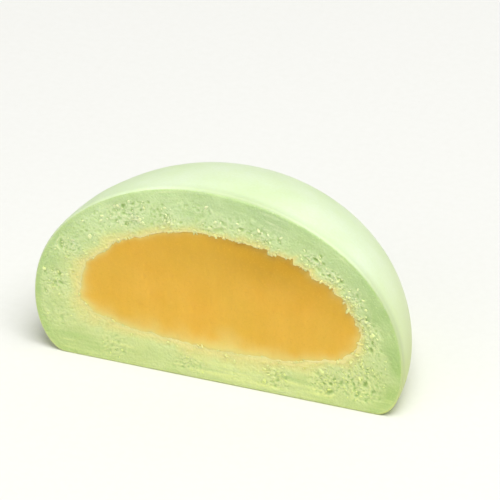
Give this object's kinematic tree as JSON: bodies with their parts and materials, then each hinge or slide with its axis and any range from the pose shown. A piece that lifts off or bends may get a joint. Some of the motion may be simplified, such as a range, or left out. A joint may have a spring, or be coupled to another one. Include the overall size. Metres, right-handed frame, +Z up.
{
  "type": "mung bean steamed bun",
  "caption": "Half of a round steamed bun with pale green dough, cut from top to base so that its crumb and its golden mung bean filling show; it rests on its flat base.",
  "frame": {"origin": "middle of the half bun's box, at its flat base", "axes": "+Z up, +X along the cut, -Y out of the cut face"},
  "size_m": [0.075, 0.0358, 0.042],
  "materials": {
    "steamed_dough": "smooth satin skin outside, fine open crumb in the cut",
    "mung_bean_paste": "smooth moist paste, cut and lightly smeared by the knife"
  },
  "bodies": {
    "root": {"bun_dough": "steamed_dough", "bun_filling": "mung_bean_paste"}
  },
  "joints": []
}
